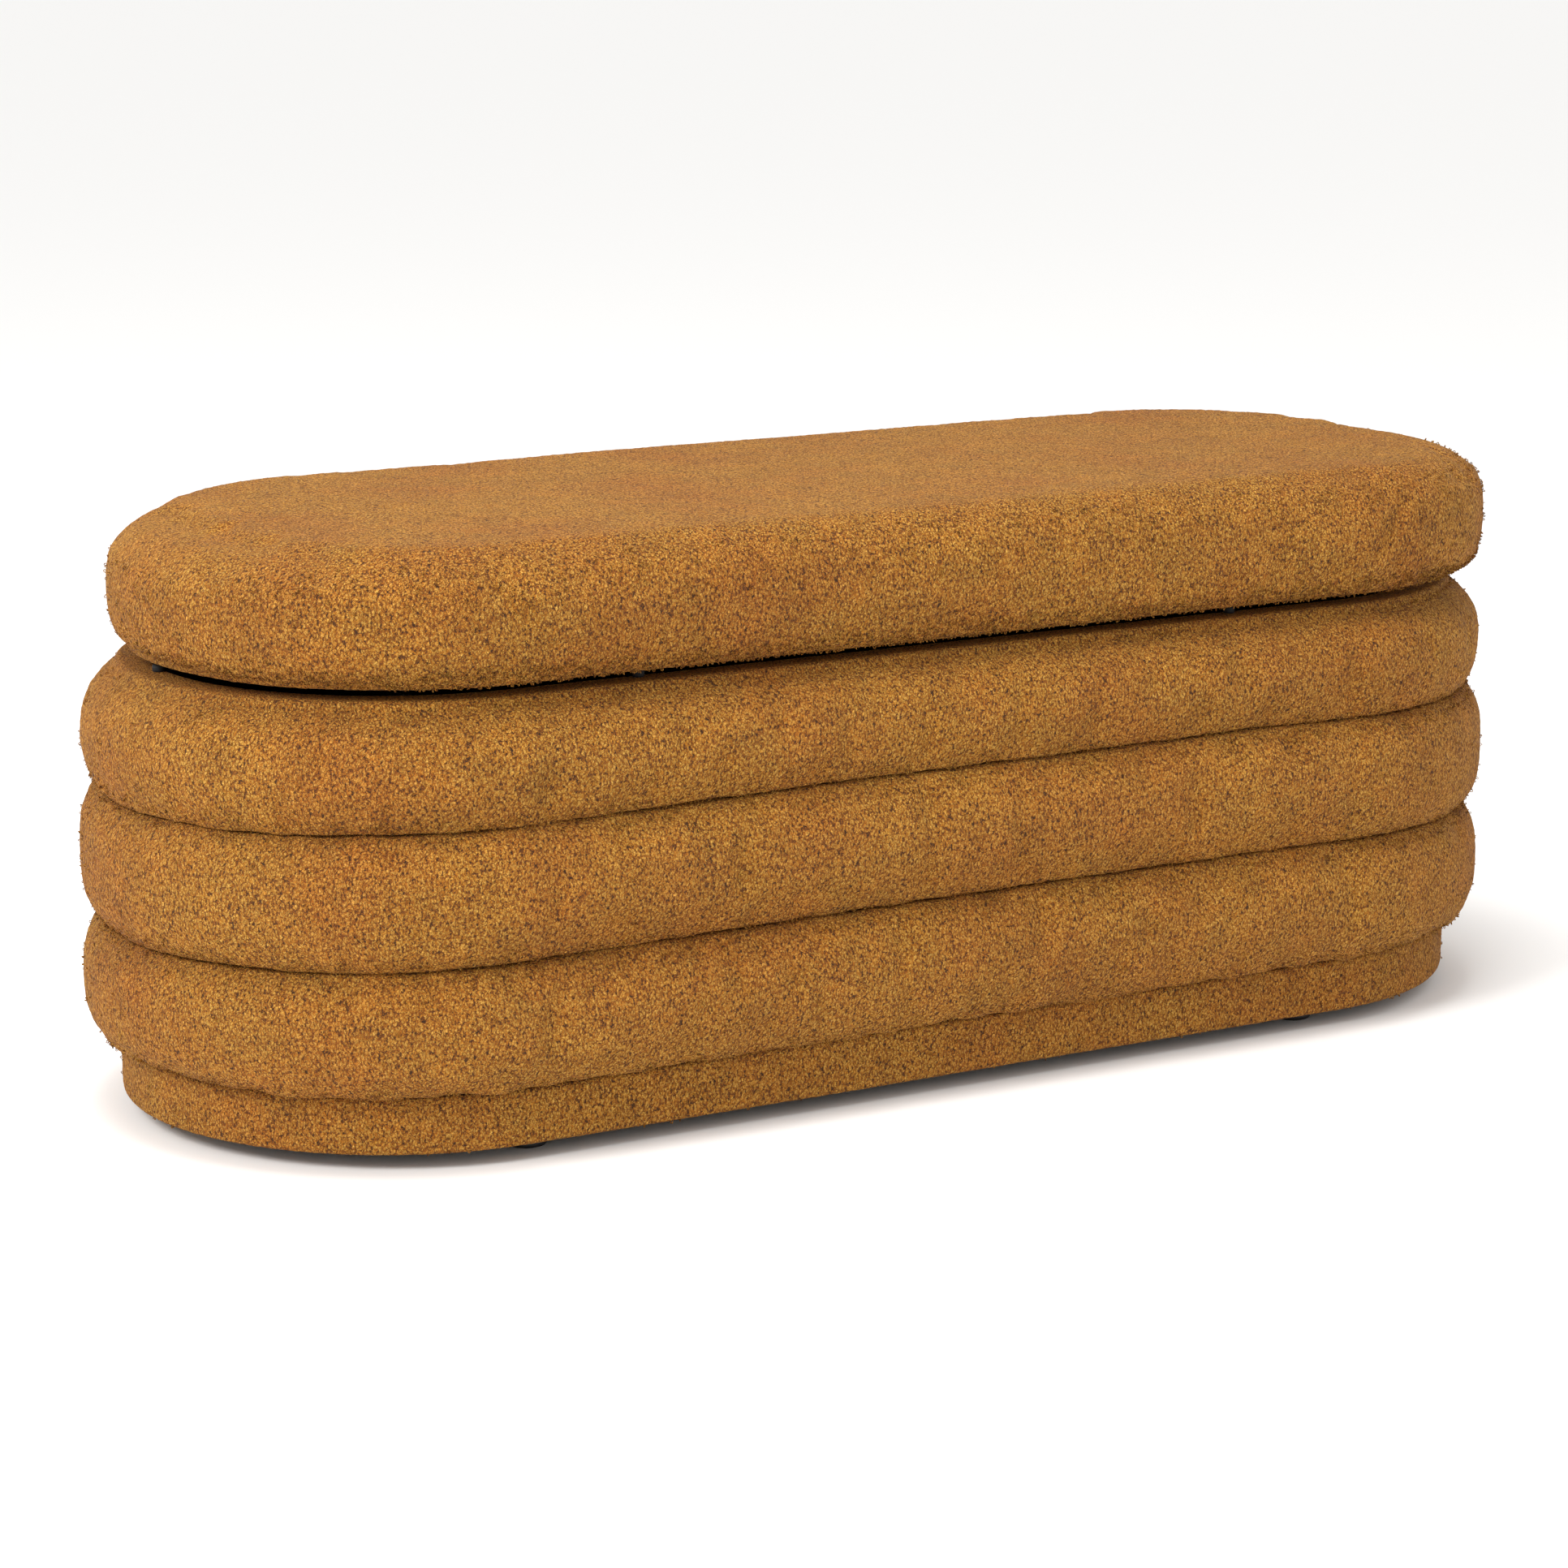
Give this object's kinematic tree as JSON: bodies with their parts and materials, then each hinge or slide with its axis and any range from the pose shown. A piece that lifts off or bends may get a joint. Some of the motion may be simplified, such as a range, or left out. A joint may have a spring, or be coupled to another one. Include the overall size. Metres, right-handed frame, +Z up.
{
  "type": "storage ottoman",
  "caption": "Oval upholstered storage bench with horizontal padded channels, an inset plinth and a padded lid hinged along its long back edge.",
  "frame": {"origin": "on the floor, under the middle of the bench", "axes": "+X along the bench, -Y to the front, +Z up; the lid hinges along the back edge at +Y"},
  "size_m": [1.2, 0.48, 0.448],
  "materials": {
    "boucle": "matte",
    "foam": "matte",
    "plywood": "matte",
    "lining": "matte",
    "foot_plastic": "matte",
    "bumper_rubber": "matte",
    "zinc_steel": "satin"
  },
  "bodies": {
    "carcass": {"front_panel": "plywood", "back_panel": "plywood", "end_shell_left": "plywood", "end_shell_right": "plywood", "splice_strip_front_left": "plywood", "splice_strip_front_right": "plywood", "splice_strip_back_left": "plywood", "splice_strip_back_right": "plywood", "floor_panel": "plywood", "dust_cover": "lining", "top_rim": "plywood", "box_lining": "lining", "foot_front_left": "foot_plastic", "foot_front_right": "foot_plastic", "foot_back_left": "foot_plastic", "foot_back_right": "foot_plastic", "foot_nail_front_left": "zinc_steel", "foot_nail_front_right": "zinc_steel", "foot_nail_back_left": "zinc_steel", "foot_nail_back_right": "zinc_steel", "plinth_cover": "boucle", "plinth_padding": "foam", "lower_channel_cover": "boucle", "lower_channel_foam": "foam", "middle_channel_cover": "boucle", "middle_channel_foam": "foam", "upper_channel_cover": "boucle", "upper_channel_foam": "foam", "hinge_body_leaf_left": "zinc_steel", "hinge_body_leaf_middle": "zinc_steel", "hinge_body_leaf_right": "zinc_steel", "hinge_pin_left": "zinc_steel", "hinge_pin_middle": "zinc_steel", "hinge_pin_right": "zinc_steel", "stay_body_bracket_left": "zinc_steel", "stay_body_bracket_right": "zinc_steel", "stay_body_rivet_left": "zinc_steel", "stay_body_rivet_right": "zinc_steel", "bumper_front_left": "bumper_rubber", "bumper_front_right": "bumper_rubber", "bumper_end_left": "bumper_rubber", "bumper_end_right": "bumper_rubber"},
    "lid": {"lid_board": "plywood", "lid_foam": "foam", "lid_cover": "boucle", "lid_lining": "lining", "hinge_lid_leaf_left": "zinc_steel", "hinge_lid_leaf_middle": "zinc_steel", "hinge_lid_leaf_right": "zinc_steel", "stay_lid_bracket_left": "zinc_steel", "stay_lid_bracket_right": "zinc_steel", "stay_lid_rivet_left": "zinc_steel", "stay_lid_rivet_right": "zinc_steel"},
    "stay_lower_left": {"stay_lower_arm_left": "zinc_steel", "stay_elbow_rivet_left": "zinc_steel"},
    "stay_upper_left": {"stay_upper_arm_left": "zinc_steel"},
    "stay_lower_right": {"stay_lower_arm_right": "zinc_steel", "stay_elbow_rivet_right": "zinc_steel"},
    "stay_upper_right": {"stay_upper_arm_right": "zinc_steel"}
  },
  "joints": [
    {"name": "lid_hinge", "type": "hinge", "parent": "carcass", "child": "lid", "pos_m": [0, 0.211, 0.346], "axis": [-1, 0, 0], "range_deg": [0, 90]},
    {"name": "stay_lower_left_pivot", "type": "hinge", "parent": "carcass", "child": "stay_lower_left", "pos_m": [-0.327, 0.172, 0.294], "axis": [-1, 0, 0], "range_deg": [0, 90]},
    {"name": "stay_elbow_left", "type": "hinge", "parent": "stay_lower_left", "child": "stay_upper_left", "pos_m": [-0.327, 0.061, 0.282], "axis": [-1, 0, 0], "range_deg": [-90, 0]},
    {"name": "stay_lower_right_pivot", "type": "hinge", "parent": "carcass", "child": "stay_lower_right", "pos_m": [0.327, 0.172, 0.294], "axis": [-1, 0, 0], "range_deg": [0, 90]},
    {"name": "stay_elbow_right", "type": "hinge", "parent": "stay_lower_right", "child": "stay_upper_right", "pos_m": [0.327, 0.061, 0.282], "axis": [-1, 0, 0], "range_deg": [-90, 0]}
  ],
  "couplings": [
    {"joint": "stay_lower_left_pivot", "follows": "lid_hinge", "ratio": 1},
    {"joint": "stay_elbow_left", "follows": "lid_hinge", "ratio": -1},
    {"joint": "stay_lower_right_pivot", "follows": "lid_hinge", "ratio": 1},
    {"joint": "stay_elbow_right", "follows": "lid_hinge", "ratio": -1}
  ]
}
